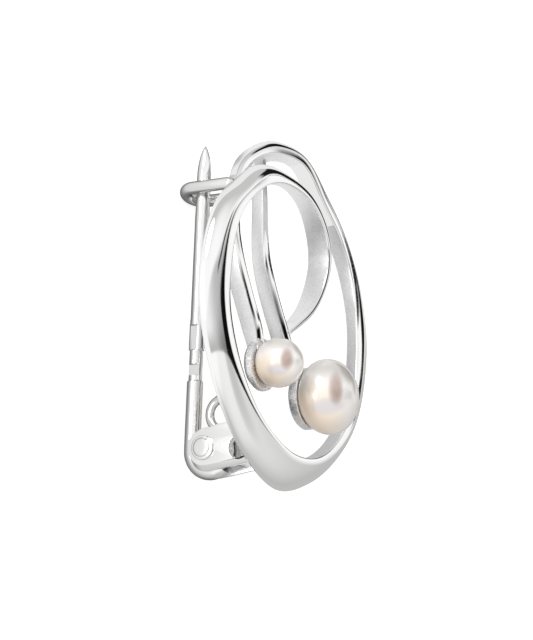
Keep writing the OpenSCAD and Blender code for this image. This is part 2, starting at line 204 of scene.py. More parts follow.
def lathe(bm, outline, steps=64):
    """Turns an outline of (radius, height) points round z into a closed body."""
    verts = [bm.verts.new((r, 0, z)) for r, z in outline]
    edges = [bm.edges.new(pair) for pair in zip(verts, verts[1:])]
    bmesh.ops.spin(
        bm, geom=verts + edges, cent=ORIGIN, axis=Z_AXIS, angle=math.tau,
        steps=steps, use_merge=True, use_duplicate=False,
    )
    tidy(bm)


def join(bm, other):
    """Adds another bmesh's shape to the first."""
    spare = bpy.data.meshes.new("spare")
    other.to_mesh(spare)
    other.free()
    bm.from_mesh(spare)
    bpy.data.meshes.remove(spare)


def soften(bm, edges, width, segments):
    """Bevels edges to a small round."""
    bmesh.ops.bevel(
        bm, geom=edges, offset=width, offset_type="OFFSET", segments=segments, profile=0.5,
        affect="EDGES", material=-1, clamp_overlap=True,
    )


def finished(name, bm, finishes, body="brooch", sharp=40):
    """Lays a piece modelled in millimetres in the row frame and lets it ride on a body."""
    bm.transform(LAID)
    for face in bm.faces:
        face.smooth = True
    for edge in bm.edges:
        edge.smooth = edge.calc_face_angle(0) < math.radians(sharp)
    mesh = bpy.data.meshes.new(name)
    bm.to_mesh(mesh)
    bm.free()
    for finish in finishes:
        mesh.materials.append(finish)
    piece = bpy.data.objects.new(name, mesh)
    bpy.context.scene.collection.objects.link(piece)
    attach(piece, body)
    return piece


# Small helpers for shader nodes and directions
def feed(tree, node, inputs):
    """Gives a node's inputs their values, or links them to other nodes."""
    for key, value in inputs.items():
        socket = node.inputs[key]
        if isinstance(value, bpy.types.NodeSocket):
            tree.links.new(value, socket)
        else:
            socket.default_value = value


def add(tree, kind, inputs=None, **settings):
    """One shader node with its settings, and values or links for its inputs."""
    made = tree.nodes.new(kind)
    for key, value in settings.items():
        setattr(made, key, value)
    feed(tree, made, inputs or {})
    return made


def reckoned(tree, operation, a, b=0.0, c=0.0, clamped=False):
    """The result of one sum on numbers."""
    made = add(tree, "ShaderNodeMath", {0: a, 1: b, 2: c}, operation=operation, use_clamp=clamped)
    return made.outputs[0]


def moved_vector(tree, operation, a, b=(0, 0, 0)):
    """The result of one sum on vectors that gives a vector."""
    return add(tree, "ShaderNodeVectorMath", {0: a, 1: b}, operation=operation).outputs["Vector"]


def measured_vector(tree, operation, a, b=(0, 0, 0)):
    """The result of one sum on vectors that gives a number."""
    return add(tree, "ShaderNodeVectorMath", {0: a, 1: b}, operation=operation).outputs["Value"]


def ramp(tree, value, start, stop, at_start=0.0, at_stop=1.0, curve="LINEAR"):
    """Goes from one number to another while a value goes from start to stop."""
    steps = {0: value, 1: start, 2: stop, 3: at_start, 4: at_stop}
    return add(tree, "ShaderNodeMapRange", steps, interpolation_type=curve).outputs[0]


def mixed(tree, share, first, second):
    """A colour between two others."""
    return add(tree, "ShaderNodeMix", {0: share, 6: first, 7: second}, data_type="RGBA").outputs[2]


def mottled(tree, place, scale, detail, roughness=0.5):
    """Soft noise between 0 and 1."""
    inputs = {"Vector": place, "Scale": scale, "Detail": detail, "Roughness": roughness}
    return add(tree, "ShaderNodeTexNoise", inputs).outputs["Fac"]


def bumpy(tree, height, strength, distance):
    """Normals of a surface with small bumps. The distance is in metres."""
    inputs = {"Height": height, "Strength": strength, "Distance": distance}
    return add(tree, "ShaderNodeBump", inputs).outputs[0]


def facing_away(tree):
    """0 where a surface faces the viewer and 1 where it is seen edge on."""
    return add(tree, "ShaderNodeLayerWeight", {"Blend": 0.5}).outputs["Facing"]


def way(azimuth, height):
    """A direction, by its angle from +X round the floor and its angle above the floor."""
    flat = cosine(height)
    return Vector((flat * cosine(azimuth), flat * sine(azimuth), sine(height)))


def sine(degrees):
    return math.sin(math.radians(degrees))


def cosine(degrees):
    return math.cos(math.radians(degrees))


class Shades:
    """Soft-edged brightness over all directions, as shader nodes."""

    def __init__(self, tree, ray):
        self.tree, self.ray = tree, ray

    def along(self, direction):
        return measured_vector(self.tree, "DOT_PRODUCT", self.ray, direction)

    def number(self, operation, a, b, c=0.0):
        return reckoned(self.tree, operation, a, b, c)

    def product(self, first, *others):
        for other in others:
            first = self.number("MULTIPLY", first, other)
        return first

    def ramp(self, value, start, stop, at_start=0.0, at_stop=1.0):
        return ramp(self.tree, value, start, stop, at_start, at_stop, "SMOOTHSTEP")

    def spot(self, direction, inner, outer):
        """1 inside a round spot, 0 outside it, by angles from its middle."""
        return self.ramp(self.along(direction), cosine(outer), cosine(inner))

    def between(self, azimuth, half, soft):
        """1 between two upright planes, one at either side of an azimuth."""
        left = self.ramp(self.along(way(azimuth + half - 90, 0)), -sine(soft), sine(soft))
        right = self.ramp(self.along(way(azimuth - half + 90, 0)), -sine(soft), sine(soft))
        return self.product(left, right, self.ramp(self.along(way(azimuth, 0)), 0.0, 0.1))

    def heights(self, start, full, fading, end):
        """1 between two heights above the floor, with soft edges, all as angles."""
        up = self.along(Z_AXIS)
        return self.product(self.ramp(up, sine(start), sine(full)), self.ramp(up, sine(end), sine(fading)))

    def towards(self, value, target, share):
        """The value, moved to a target brightness by a share."""
        left = self.number("SUBTRACT", 1.0, share)
        return self.number("MULTIPLY_ADD", share, target, self.number("MULTIPLY", value, left))


# Finishes
def new_group(name, inputs, outputs):
    """An empty shader node group with named sockets."""
    group = bpy.data.node_groups.new(name, "ShaderNodeTree")
    for label, kind, value in inputs:
        socket = group.interface.new_socket(label, in_out="INPUT", socket_type=kind)
        if value is not None:
            socket.default_value = value
    for label, kind in outputs:
        group.interface.new_socket(label, in_out="OUTPUT", socket_type=kind)
    return group, add(group, "NodeGroupInput"), add(group, "NodeGroupOutput")


def in_millimetres(group, given):
    inputs = {0: given.outputs["Place"], "Scale": 1000.0}
    return add(group, "ShaderNodeVectorMath", inputs, operation="SCALE").outputs[0]


def grain_group():
    """Matt cast and blasted metal: a fine grain over soft clouds, sizes in millimetres."""
    group, given, out = new_group(
        "metal_grain",
        [("Place", "NodeSocketVector", None), ("Grain per mm", "NodeSocketFloat", 12.0),
         ("Clouds per mm", "NodeSocketFloat", 0.7)],
        [("Height", "NodeSocketFloat"), ("Clouds", "NodeSocketFloat")],
    )
    place = in_millimetres(group, given)
    feed(group, out, {
        "Height": mottled(group, place, given.outputs["Grain per mm"], 3.0, 0.6),
        "Clouds": mottled(group, place, given.outputs["Clouds per mm"], 2.0),
    })
    return group


def handling_group():
    """Polished metal that has been handled: faint smudges and hairline scratches."""
    group, given, out = new_group(
        "handling_marks",
        [("Place", "NodeSocketVector", None), ("Least", "NodeSocketFloat", 0.03),
         ("Most", "NodeSocketFloat", 0.1)],
        [("Roughness", "NodeSocketFloat"), ("Height", "NodeSocketFloat")],
    )
    place = in_millimetres(group, given)
    smudge = mottled(group, place, 0.5, 4.0)
    stretched = {"Vector": place, "Rotation": (0.4, 0.7, 0.9), "Scale": (0.25, 6.0, 6.0)}
    slant = add(group, "ShaderNodeMapping", stretched).outputs[0]
    hairlines = ramp(group, mottled(group, slant, 3.0, 2.0), 0.62, 0.72)
    scratches = reckoned(group, "MULTIPLY", hairlines, smudge)
    soft = reckoned(group, "MULTIPLY_ADD", scratches, 0.35)
    total = reckoned(group, "MULTIPLY_ADD", smudge, 0.6, soft)
    rough = ramp(group, total, 0.2, 0.6, given.outputs["Least"], given.outputs["Most"])
    feed(group, out, {"Roughness": rough, "Height": scratches})
    return group


def new_finish(name):
    """A material with its Principled shader and the piece's own coordinates."""
    finish = bpy.data.materials.new(name)
    finish.use_nodes = True
    tree = finish.node_tree
    place = add(tree, "ShaderNodeTexCoord").outputs["Object"]
    return finish, tree, tree.nodes["Principled BSDF"], place


def polished(name, colour, least, most, painted_edge_shade=0.0):
    """Mirror silver with handling marks. Wire can get painted shade: its colour darkens where it is seen at a
    slant.
    """
    finish, tree, shader, place = new_finish(name)
    given = {"Place": place, "Least": least, "Most": most}
    marks = add(tree, "ShaderNodeGroup", given, node_tree=HANDLING)
    feed(tree, shader, {
        "Base Color": colour,
        "Metallic": 1.0,
        "Roughness": marks.outputs["Roughness"],
        "Normal": bumpy(tree, marks.outputs["Height"], 0.05, SCRATCH_DEPTH),
    })
    # painted shade: the colour darkens towards edges that are seen at a slant
    if painted_edge_shade:
        shade = ramp(tree, facing_away(tree), 0.25, 0.80, 0.0, painted_edge_shade, "SMOOTHSTEP")
        feed(tree, shader, {"Base Color": mixed(tree, shade, colour, PAINTED_WIRE_SHADE)})
    return finish


def matt(name, pale, dark, grain, clouds, least, most, depth):
    """Blasted or cast silver: grain in its height and roughness, grain and clouds in its colour."""
    finish, tree, shader, place = new_finish(name)
    given = {"Place": place, "Grain per mm": grain, "Clouds per mm": clouds}
    marks = add(tree, "ShaderNodeGroup", given, node_tree=GRAIN)
    height = marks.outputs["Height"]
    specks = ramp(tree, height, 0.36, 0.62, -0.45, 0.55)
    mottle = reckoned(tree, "ADD", marks.outputs["Clouds"], specks, clamped=True)
    feed(tree, shader, {
        "Base Color": mixed(tree, mottle, dark, pale),
        "Metallic": 1.0,
        "Roughness": ramp(tree, height, 0.3, 0.7, least, most),
        "Normal": bumpy(tree, height, 0.6, depth),
    })
    return finish


# Directions on a pearl from its middle: right, up and forwards as the photograph sees it, and
# its peach side. The patches of painted reflection are ovals: place to the right and up, half width, half
# height
PEARL_RIGHT, PEARL_TOP, PEARL_FRONT = (0.5, 0, 0.866), (-0.165, 0.982, 0.096), (-0.85, -0.19, 0.49)
PEACH_SIDE = (-0.72, -0.68, -0.15)
SMALL_ROSY_REFLECTION_OVAL = (0.32, 0.17, 0.33, 0.52)
LARGE_ROSY_REFLECTION_OVAL = (0.21, 0.26, 0.30, 0.58)
LILAC_REFLECTION_OVAL = (-0.02, -0.24, 0.60, 0.30)
CREAM, PEACH = (0.97, 0.93, 0.90, 1), (0.95, 0.79, 0.63, 1)
# A grey for the painted shade on the tops, and the colours of the painted lilac and rosy reflections
PAINTED_SHADE_GREY, LILAC, ROSY = (0.62, 0.59, 0.56, 1), (0.66, 0.64, 0.67, 1), (0.37, 0.23, 0.18, 1)
PEARL_CLOUDS_PER_M, PEARL_RIPPLES_PER_M, PEARL_RIPPLE_DEPTH = 600.0, 900.0, 0.00008


def nacre(name, middle, rosy_reflection_oval):
    """Pearl: a cream body with a peach rim and a peach side, all below a clear lustrous skin, with
    painted shade greying its top and painted reflections as a soft rosy patch and a faint lilac one under it."""
    finish, tree, shader, place = new_finish(name)
    centred = moved_vector(tree, "SUBTRACT", place, LAID @ middle)
    skin = Shades(tree, moved_vector(tree, "NORMALIZE", centred))

    def facing(direction):
        return skin.along((LAID.to_3x3() @ Vector(direction)).normalized())

    def oval(x, y, half_width, half_height):
        across = skin.number("DIVIDE", skin.number("SUBTRACT", facing(PEARL_RIGHT), x), half_width)
        upwards = skin.number("DIVIDE", skin.number("SUBTRACT", facing(PEARL_TOP), y), half_height)
        off = skin.number("ADD", skin.product(across, across), skin.product(upwards, upwards))
        return skin.product(skin.ramp(off, 1.0, 0.0), skin.ramp(facing(PEARL_FRONT), 0.1, 0.5))

    clouds = mottled(tree, place, PEARL_CLOUDS_PER_M, 2.0)
    rim = skin.ramp(facing_away(tree), 0.45, 1.0, 0.0, 0.7)
    uneven = skin.number("MULTIPLY_ADD", clouds, 0.3, -0.15)
    low = skin.number("ADD", skin.ramp(facing(PEACH_SIDE), 0.25, 1.0), uneven)
    # painted shade: the colour greys towards the top
    top = skin.ramp(facing(PEARL_TOP), 0.30, 0.85, 0.0, 0.75)
    # painted reflection: the soft rosy patch
    rosy = skin.product(oval(*rosy_reflection_oval), skin.number("MULTIPLY_ADD", clouds, 0.5, 0.6))
    colour = mixed(tree, skin.number("MAXIMUM", low, rim), CREAM, PEACH)
    colour = mixed(tree, top, colour, PAINTED_SHADE_GREY)
    # painted reflections: the faint lilac patch, then the rosy one
    colour = mixed(tree, skin.product(oval(*LILAC_REFLECTION_OVAL), 0.8), colour, LILAC)
    colour = mixed(tree, rosy, colour, ROSY)
    ripples = mottled(tree, place, PEARL_RIPPLES_PER_M, 3.0)
    feed(tree, shader, {
        "Base Color": colour,
        "Metallic": 0.18,
        "Roughness": 0.32,
        "Coat Weight": 1.0,
        "Coat Roughness": 0.14,
        "Coat IOR": 2.1,
        "Normal": bumpy(tree, ripples, 0.08, PEARL_RIPPLE_DEPTH),
    })
    return finish


SCRATCH_DEPTH = 0.00001
# The dark colour of the painted shade on wire
PAINTED_WIRE_SHADE = (0.12, 0.12, 0.12, 1)
SATIN_GRAIN = {"grain": 8.5, "clouds": 0.7, "least": 0.30, "most": 0.46, "depth": 0.000015}
CAST_GRAIN = {"grain": 6.0, "clouds": 2.2, "least": 0.2, "most": 0.42, "depth": 0.00004}

GRAIN = grain_group()
HANDLING = handling_group()
MIRROR_SILVER = polished("mirror_silver", (0.95, 0.95, 0.945, 1), 0.03, 0.09)
# The pin, the catch and the eyelet are painted darker, the eyelet most, with painted shade at their slanting
# edges: painted dark reflections of their surroundings
PIN_SILVER = polished("pin_silver", (0.91, 0.91, 0.905, 1), 0.05, 0.12, 0.35)
WIRE_SILVER = polished("wire_silver", (0.84, 0.84, 0.835, 1), 0.03, 0.09, 0.70)
EYELET_SILVER = polished("eyelet_silver", (0.66, 0.66, 0.655, 1), 0.03, 0.09, 0.85)
SATIN_SILVER = matt("satin_silver", (0.99, 0.99, 0.99, 1), (0.87, 0.87, 0.875, 1), **SATIN_GRAIN)
# A darker copy of the satin: painted shade for matt walls that lie in shade
PAINTED_SHADE_SATIN = matt("painted_shade_satin_silver", (0.72, 0.72, 0.72, 1), (0.60, 0.60, 0.605, 1), **SATIN_GRAIN)
FROSTED_SILVER = matt("frosted_silver", (0.97, 0.97, 0.97, 1), (0.74, 0.74, 0.745, 1), **CAST_GRAIN)


# The swirled ribbon and its stems
def row_at(rows, s):
    """A row between the rows of a table, on a smooth curve through all of them."""
    i = min(int(s), len(rows) - 1)
    t = s - i
    a, b, c, d = (Vector(rows[max(0, min(len(rows) - 1, j))]) for j in (i - 1, i, i + 1, i + 2))
    return (2 * b + (c - a) * t + (2 * a - 5 * b + 4 * c - d) * t * t + (3 * b - a - 3 * c + d) * t ** 3) / 2


def band_outline(width, depth, upright, face, crest, lean):
    """The band's outline, outwards and forwards from its inner front edge. Its first
    side is the matt inner wall."""
    start = math.radians(crest)
    reach = (width - face) / (1 - math.sin(start))
    rise = depth * (1 - upright) / math.cos(start)
    corner = [(EDGE_ROUND * (1 - math.cos(a)), EDGE_ROUND * (math.sin(a) - 1))
              for a in even_steps(0, math.pi / 2, 5)]
    outer = [(face + reach * (math.sin(a) - math.sin(start)), rise * (math.cos(a) - math.cos(start)))
             for a in even_steps(start, math.pi / 2, 20)]
    r = min(BACK_ROUND, width / 4)
    back = [(width - r * (1 - math.cos(a)), -depth + r * (1 - math.sin(a)))
            for a in even_steps(0, math.pi / 2, 4)]
    inner_back = [(r * (1 - math.cos(a)) - lean, -depth + r * (1 - math.sin(a)))
                  for a in even_steps(math.pi / 2, 0, 4)]
    return inner_back[-1:] + corner + outer + back + inner_back[:-1]


def band_section(rows, s):
    """The band's outline in space, square to its run at position s of its table."""
    row = row_at(rows, s)
    ahead = Vector(row_at(rows, min(s + 0.05, len(rows) - 1))[:3])
    behind = Vector(row_at(rows, max(s - 0.05, 0))[:3])
    run = (ahead - behind).normalized()
    out = run.cross(Z_AXIS).normalized()
    front = out.cross(run)
    return [Vector(row[:3]) + out * p + front * q for p, q in band_outline(*row[3:])]


def ribbon(rows, matt_side_from=0, matt_until=-math.inf, bright_wall=(0, 0), painted_shade_walls=(), painted_shade_side=False):
    """A band swept through its table: a bent grid, closed along its seam and at its ends.
    Its inner wall is matt, but for one bright stretch, and has painted shade, a darker satin,
    in some stretches. Its outer wall is matt from one row on, can take the same painted shade,
    and the whole band is matt until another."""
    runs = (len(rows) - 1) * RIBBON_STEPS
    sides = len(band_outline(1, 1, 0.5, 0.4, 0, 0))
    bm = bmesh.new()
    bmesh.ops.create_grid(bm, x_segments=sides, y_segments=runs, size=1)
    for face in bm.faces:
        middle = face.calc_center_median()
        side = int((middle.x / 2 + 0.5) * sides)
        row = (middle.y / 2 + 0.5) * (len(rows) - 1)
        inner_wall = side in (0, sides - 1)
        matt_wall = inner_wall and row > CURL_LIP and not bright_wall[0] < row < bright_wall[1]
        matt_side = side >= OUTER_WALL_SIDE and row > matt_side_from
        matt_start = row < matt_until + MATT_END_SLANT * abs(side - CREST_SIDE)
        # painted shade: the darker satin on stretches of the inner wall and on the matt outer side
        painted_shade_wall = inner_wall and any(start < row < stop for start, stop in painted_shade_walls)
        if painted_shade_wall or (painted_shade_side and matt_side):
            face.material_index = 2
        elif matt_wall or matt_side or matt_start:
            face.material_index = 1
    sections = [band_section(rows, k / RIBBON_STEPS) for k in range(runs + 1)]
    for vert in bm.verts:
        k = round((vert.co.y / 2 + 0.5) * runs)
        i = round((vert.co.x / 2 + 0.5) * sides)
        vert.co = sections[k][i % sides]
    tidy(bm)
    bmesh.ops.holes_fill(bm, edges=[e for e in bm.edges if e.is_boundary], sides=sides + 4)
    tidy(bm)
    return bm


# The swirl's inner wall has painted shade in two stretches, and its matt outer side too
swirl_band = ribbon(
    SWIRL, matt_side_from=27.5, bright_wall=(22.5, 24.2),
    painted_shade_walls=((17.5, 22.5), (28, 33)), painted_shade_side=True,
)
swirl = finished("swirl", swirl_band, [MIRROR_SILVER, SATIN_SILVER, PAINTED_SHADE_SATIN])
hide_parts("ribbon_frame")
finished("second_stem", ribbon(SECOND_STEM, matt_until=2.9), [MIRROR_SILVER, SATIN_SILVER])


# Cups and pearls
def cup(name, middle, d, h, slope, pearl_d, pearl_h, fullness):
    """A cup's wall and floor, hollow where the pearl sits."""
    back = pearl_h / 2 + PEARL_GAP + CUP_FLOOR
    room_r, room_h = pearl_d / 2 + CUP_ROOM, pearl_h / 2 + CUP_ROOM
    start = math.asin((back - h) / room_h)
    rim_r = room_r * math.cos(start) ** fullness
    bowl = [(room_r * max(math.cos(a), 0) ** fullness, back - room_h * math.sin(a))
            for a in even_steps(start, math.pi / 2, 10)]
    wall = [
        (0, 0),
        (d / 2 - slope - CUP_SOFT, 0),
        (d / 2 - slope, CUP_SOFT / 2),
        (d / 2 - CUP_SOFT / 2, slope),
        (d / 2, slope + CUP_SOFT),
        (d / 2, h - CUP_SOFT),
        (d / 2 - CUP_SOFT, h),
        (rim_r + CUP_SOFT / 2, h),
    ]
    bm = bmesh.new()
    lathe(bm, wall + bowl[1:-1] + [(0, bowl[-1][1])], 72)
    for vert in bm.verts:
        if vert.co.z < h + 0.01 and Vector((vert.co.x, vert.co.y)).length > rim_r:
            wide_dent = WIDE_DENT * abs(noise.noise(vert.co * 1.7 + middle))
            fine_dent = FINE_DENT * abs(noise.noise(vert.co * 5.0 + middle))
            vert.co.xy *= 1 - (wide_dent + fine_dent) / (d / 2)
    bm.transform(Matrix.Translation(middle - Z_AXIS * back))
    finished(name, bm, [FROSTED_SILVER])


def pearl(name, middle, d, h, fullness, rosy_reflection_oval, node):
    """A pearl a hair smaller than its solid, with the slight unevenness of a grown one."""
    bm = bmesh.new()
    bmesh.ops.create_uvsphere(bm, u_segments=112, v_segments=72, radius=1)
    for vert in bm.verts:
        uneven = 1 - PEARL_UNEVENNESS * (0.5 + 0.5 * noise.noise(vert.co * 1.6 + middle))
        wide = vert.co.xy.length
        if vert.co.z < 0 and wide > 1e-4:
            vert.co.xy *= wide ** (fullness - 1)
        vert.co = Vector((vert.co.x * d / 2, vert.co.y * d / 2, vert.co.z * h / 2)) * uneven
    bm.transform(Matrix.Translation(middle))
    piece = finished(name, bm, [nacre(name + "_nacre", middle, rosy_reflection_oval)])
    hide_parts(node)


SMALL_PEARL = (SMALL_PEARL_D, SMALL_PEARL_D, 1)
LARGE_PEARL = (LARGE_PEARL_D, LARGE_PEARL_H, BACK_FULLNESS)
cup("small_cup", SMALL_PEARL_AT, SMALL_CUP_D, SMALL_CUP_H, SMALL_CUP_SLOPE, *SMALL_PEARL)
cup("large_cup", LARGE_PEARL_AT, LARGE_CUP_D, LARGE_CUP_H, LARGE_CUP_SLOPE, *LARGE_PEARL)
pearl("small_round_pearl", SMALL_PEARL_AT, *SMALL_PEARL, SMALL_ROSY_REFLECTION_OVAL, "small_pearl")
pearl("large_button_pearl", LARGE_PEARL_AT, *LARGE_PEARL, LARGE_ROSY_REFLECTION_OVAL, "large_pearl")


# Pin stem, rivet and hinge
def stem_stops():
    """Distance along the straight stem and diameter there, from the hinge to the tip."""
    neck_at, flat_at = LOW_L, LOW_L + NECK_L
    upper_at = flat_at + FLAT_L + TAPER_L
    point_at = STEM_L - POINT_L
    step = 0.04
    low = [(0.6, STEM_D), (neck_at - step, STEM_D), (neck_at + step, NECK_D)]
    notch = [(neck_at + NOTCH_UP + k, NECK_D) for k in (-step, step, NOTCH_L - step, NOTCH_L + step)]
    flat = [(flat_at - step, NECK_D), (flat_at + step, FLAT_D), (flat_at + FLAT_L - step, FLAT_D),
            (flat_at + FLAT_L + step, FLAT_D)]
    upper = [(upper_at, UPPER_D), (upper_at + UPPER_L, UPPER_D), (upper_at + UPPER_L + TAPER_L, TIP_D),
             (point_at, TIP_D)]
    point = [(point_at + POINT_L * along, TIP_D * wide) for along, wide in POINT_OUTLINE]
    return low + notch + flat + upper + point


def stem_eye():
    """The eye that turns on the rivet, inside the bend."""
    hole, rim, half, soft = RIVET_D / 2 + EYE_CLEARANCE, BEND_R, EYE_T / 2, EYE_BEVEL
    eye = bmesh.new()
    lathe(eye, [(hole, -half + soft), (hole + soft, -half), (rim, -half), (rim, half), (hole + soft, half),
                (hole, half - soft), (hole, -half + soft)])
    eye.transform(turned(90, "Y"))
    return eye


def pin_stem():
    """The stem: a wire bent round the hinge, its worked length and its point."""
    bm = bmesh.new()
    start = bmesh.ops.create_circle(bm, radius=STEM_D / 2, segments=40)["verts"]
    to_start = turned(STEM_SLOPE, "X") @ Matrix.Translation((0, 0, -BEND_R)) @ turned(-90, "X")
    bmesh.ops.transform(bm, matrix=to_start, verts=start, space=Matrix())
    ring = list(bm.edges)
    turned_ring = bmesh.ops.spin(
        bm, geom=list(bm.verts) + ring, cent=ORIGIN, axis=X_AXIS, angle=-math.radians(90 + TAIL_TURN),
        steps=26, use_merge=False, use_duplicate=False)["geom_last"]
    tail = edges_of(turned_ring)
    middle = sum((v.co for v in verts_of(turned_ring)), ORIGIN) / len(verts_of(turned_ring))
    for share in (0.93, 0.72, 0.35):
        tail = grow(bm, tail, scaled_at(middle, share))
    close_ring(bm, tail)
    along = (turned(STEM_SLOPE, "X") @ Y_AXIS).normalized()
    foot = turned(STEM_SLOPE, "X") @ Vector((0, 0, -BEND_R))
    at, wide = 0.0, STEM_D
    for stop, d in stem_stops():
        scaled = scaled_at(foot + along * at, d / wide)
        ring = grow(bm, ring, Matrix.Translation(along * (stop - at)) @ scaled)
        at, wide = stop, d
    close_ring(bm, ring)
    flat_at, notch_at = LOW_L + NECK_L, LOW_L + NOTCH_UP
    for vert in bm.verts:
        t = (vert.co - foot).dot(along)
        if flat_at < t < flat_at + FLAT_L:
            vert.co.x = max(vert.co.x, FLAT_CUT - FLAT_D / 2)
        if notch_at < t < notch_at + NOTCH_L:
            vert.co.x = max(vert.co.x, NOTCH_CUT - NECK_D / 2)
    join(bm, stem_eye())
    tidy(bm)
    bm.transform(Matrix.Translation(HINGE))
    piece = finished("pin_stem_wire", bm, [PIN_SILVER], body="pin", sharp=32)
    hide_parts("pin_stem")


def rivet():
    """The rivet: a shaft with a low domed head at each end."""
    reach = EARS_HALF + HEAD_GAP
    dome = [(RIVET_HEAD_D / 2 * r, reach + RIVET_HEAD_H * h) for r, h in RIVET_DOME]
    outline = [(r, -z) for r, z in reversed(dome)] + [(RIVET_D / 2, -reach), (RIVET_D / 2, reach)] + dome
    bm = bmesh.new()
    lathe(bm, outline)
    bm.transform(Matrix.Translation(HINGE) @ turned(90, "Y"))
    piece = finished("hinge_rivet", bm, [PIN_SILVER], sharp=50)
    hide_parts("rivet")


def ear_outline(trim):
    """One ear seen along x, as points (forwards, upwards) from the hinge axis."""
    mid = trim / 2
    nose = [(EAR_NOSE_R * math.cos(a), mid + (EAR_NOSE_R - mid) * math.sin(a))
            for a in even_steps(math.pi / 2, math.pi, 12)]
    chin = [(EAR_NOSE_R * math.cos(a), mid + (EAR_LOW - mid) * math.sin(a))
            for a in even_steps(math.pi, math.pi * 1.5, 12)][1:]
    open_half = math.acos((EAR_REACH - EAR_NOTCH_AT) / EAR_NOTCH_R)
    notch = [(EAR_NOTCH_AT + EAR_NOTCH_R * math.cos(a), EAR_NOTCH_UP + EAR_NOTCH_R * math.sin(a))
             for a in even_steps(math.tau - open_half, open_half, 18)]
    top = [(EAR_REACH, EAR_TOP), (2.2, EAR_TOP), (1.65, 1.84), (1.1, 1.75), (0.5, 1.58)]
    floor = [(0.4, trim - EAR_LOW), (1.5, trim - EAR_LOW + 0.12), (EAR_REACH, trim + EAR_FLOOR)]
    return top + nose + chin + floor + notch


def ear(bm, mirrored, drop):
    """One ear plate: its lower edge slopes in towards the outer face."""
    part = bmesh.new()
    side = -1 if mirrored else 1
    loops = []
    for x, trim in ((0, EAR_TRIM), (EAR_T / 2, 0), (EAR_T, 0)):
        outline = ear_outline(trim - drop)
        verts = [part.verts.new((side * (x - EARS_HALF), up, forward)) for forward, up in outline]
        loops.append([part.edges.new(pair) for pair in zip(verts, verts[1:] + verts[:1])])
    for first, second in zip(loops, loops[1:]):
        bmesh.ops.bridge_loops(part, edges=first + second)
    for loop in (loops[0], loops[-1]):
        close_ring(part, loop)
    tidy(part)
    soften(part, [e for e in part.edges if e.calc_face_angle(0) > math.radians(50)], EAR_BEVEL, 3)
    tidy(part)
    join(bm, part)


def hinge():
    """Two ears and the strip that joins them behind the ring, satin but for the near ear."""
    bm = bmesh.new()
    ear(bm, False, 0)
    ear(bm, True, FAR_EAR_DROP)
    strip = bmesh.new()
    size = Matrix.Diagonal((EAR_SPACE + 0.1, STRIP_T, EAR_REACH - STRIP_FROM, 1))
    middle = (0, EAR_FLOOR + STRIP_T / 2, (STRIP_FROM + EAR_REACH) / 2)
    bmesh.ops.create_cube(strip, size=1, matrix=Matrix.Translation(middle) @ size)
    soften(strip, list(strip.edges), STRIP_BEVEL, 2)
    join(bm, strip)
    for face in bm.faces:
        face.material_index = 1 if face.calc_center_median().x > -EAR_SPACE / 2 + 0.1 else 0
    bm.transform(Matrix.Translation(HINGE))
    finished("hinge_ears", bm, [MIRROR_SILVER, SATIN_SILVER], sharp=32)


def eyelet():
    """A small ring of rounded wire on the near ear."""
    bm = bmesh.new()
    made = bmesh.ops.create_circle(bm, radius=1, segments=28)["verts"]
    middle_r = EYELET_HOLE_D / 2 + EYELET_WALL / 2
    section = Matrix.Diagonal((EAR_T / 2, EYELET_WALL / 2, 1, 1))
    bmesh.ops.transform(bm, verts=made, space=Matrix(), matrix=Matrix.Translation((0, middle_r, 0)) @ section)
    bmesh.ops.spin(bm, geom=list(bm.verts) + list(bm.edges), cent=ORIGIN, axis=X_AXIS, angle=math.tau,
                   steps=56, use_merge=True, use_duplicate=False)
    tidy(bm)
    bm.transform(Matrix.Translation(HINGE + Vector((-EARS_HALF + EAR_T / 2, EYELET_UP, EYELET_FORWARD))))
    finished("chain_eyelet_ring", bm, [EYELET_SILVER])


def catch():
    """The catch: one wire, bent round the closed stem, with rounded ends."""
    half = (TIP_D + CATCH_D) / 2 + CATCH_SPACE
    r = CATCH_D / 2
    bm = bmesh.new()
    bmesh.ops.create_circle(bm, radius=r, segments=36, matrix=Matrix.Translation((-half, 0, 0)))
    first = list(bm.edges)
    last = edges_of(bmesh.ops.spin(
        bm, geom=list(bm.verts) + first, cent=ORIGIN, axis=Y_AXIS, angle=-math.pi,
        steps=32, use_merge=False, use_duplicate=False)["geom_last"])
    for ring, x, length in ((first, -half, CATCH_ROOT_L), (last, half, CATCH_FREE_L)):
        ring = grow(bm, ring, Matrix.Translation((0, 0, length)))
        before, height = 1.0, length
        for a in even_steps(15, 85, 5):
            wide, up = cosine(a), length + r * sine(a)
            at = Vector((x, 0, height))
            ring = grow(bm, ring, Matrix.Translation((0, 0, up - height)) @ scaled_at(at, wide / before))
            before, height = wide, up
        close_ring(bm, ring)
    tidy(bm)
    bm.transform(Matrix.Translation((PIN_X, CATCH_Y, CATCH_BACK_Z)) @ turned(-CATCH_PITCH, "Z"))
    finished("catch_loop", bm, [WIRE_SILVER])


pin_stem()
rivet()
hinge()
eyelet()
catch()

# Camera, floor and light. First the photograph's width, height and focal length in pixels, then
# the camera's turn and tilt in degrees and its distance in millimetres, and the point that it
# aims at, on the brooch and in the photograph
PHOTO_W, PHOTO_H, PHOTO_FOCAL = 533, 640, 3750
CAMERA_TURN, CAMERA_TILT, CAMERA_FAR = 60, 11, 300
AIM = Vector((-2.4, -1.0, 0.0))
AIM_PX = (282.6, 316.0)


